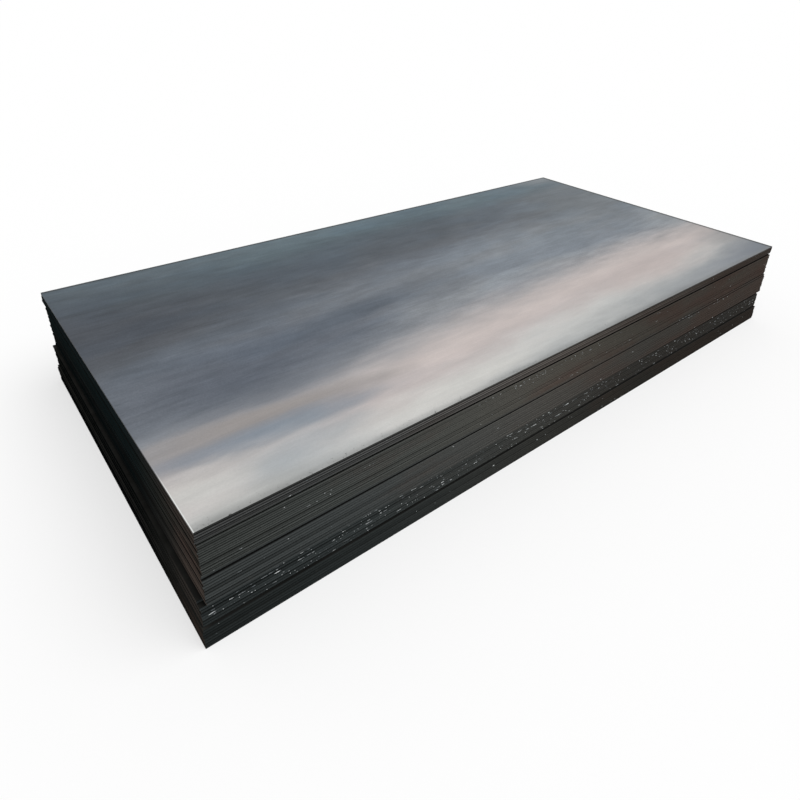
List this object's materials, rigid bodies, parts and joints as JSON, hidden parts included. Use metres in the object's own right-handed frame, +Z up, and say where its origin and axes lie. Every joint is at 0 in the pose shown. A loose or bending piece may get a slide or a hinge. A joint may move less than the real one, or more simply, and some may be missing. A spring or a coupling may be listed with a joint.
{
  "type": "stack of steel plates",
  "caption": "Stack of flat rectangular hot-rolled steel plates, laid one on another in slightly skewed lifts; raw stock for cutting, forming and welding.",
  "frame": {"origin": "centre of the underside of the lowest plate", "axes": "+X along the plates (rolling direction), +Y across them, +Z up"},
  "size_m": [2.5194, 1.2765, 0.3332],
  "materials": {
    "top_plate": "satin blue-grey mill scale with streaks along the rolling direction",
    "lift_1": "dark mill scale, dull rolled edges",
    "lift_2": "dark mill scale, rolled edges with small bright nicks",
    "lift_3": "dark mill scale, rolled edges with brown rust",
    "lift_4": "dark mill scale, rolled edges with brown rust",
    "lift_5": "dark mill scale, dull rolled edges"
  },
  "bodies": {
    "root": {"lift_1_plate_01": "lift_1", "lift_1_plate_02": "lift_1", "lift_1_plate_03": "lift_1", "lift_1_plate_04": "lift_1", "lift_1_plate_05": "lift_1", "lift_1_plate_06": "lift_1", "lift_1_plate_07": "lift_1", "lift_2_plate_01": "lift_2", "lift_2_plate_02": "lift_2", "lift_2_plate_03": "lift_2", "lift_2_plate_04": "lift_2", "lift_2_plate_05": "lift_2", "lift_2_plate_06": "lift_2", "lift_2_plate_07": "lift_2", "lift_2_plate_08": "lift_2", "lift_3_plate_01": "lift_3", "lift_3_plate_02": "lift_3", "lift_3_plate_03": "lift_3", "lift_3_plate_04": "lift_3", "lift_3_plate_05": "lift_3", "lift_3_plate_06": "lift_3", "lift_3_plate_07": "lift_3", "lift_3_plate_08": "lift_3", "lift_3_plate_09": "lift_3", "lift_3_plate_10": "lift_3", "lift_4_plate_01": "lift_4", "lift_4_plate_02": "lift_4", "lift_4_plate_03": "lift_4", "lift_4_plate_04": "lift_4", "lift_4_plate_05": "lift_4", "lift_4_plate_06": "lift_4", "lift_4_plate_07": "lift_4", "lift_4_plate_08": "lift_4", "lift_4_plate_09": "lift_4", "lift_4_plate_10": "lift_4", "lift_4_plate_11": "lift_4", "lift_4_plate_12": "lift_4", "lift_4_plate_13": "lift_4", "lift_4_plate_14": "lift_4", "lift_4_plate_15": "lift_4", "lift_5_plate_01": "lift_5", "lift_5_plate_02": "lift_5", "lift_5_plate_03": "lift_5", "lift_5_plate_04": "lift_5", "top_plate": "top_plate"}
  },
  "joints": []
}
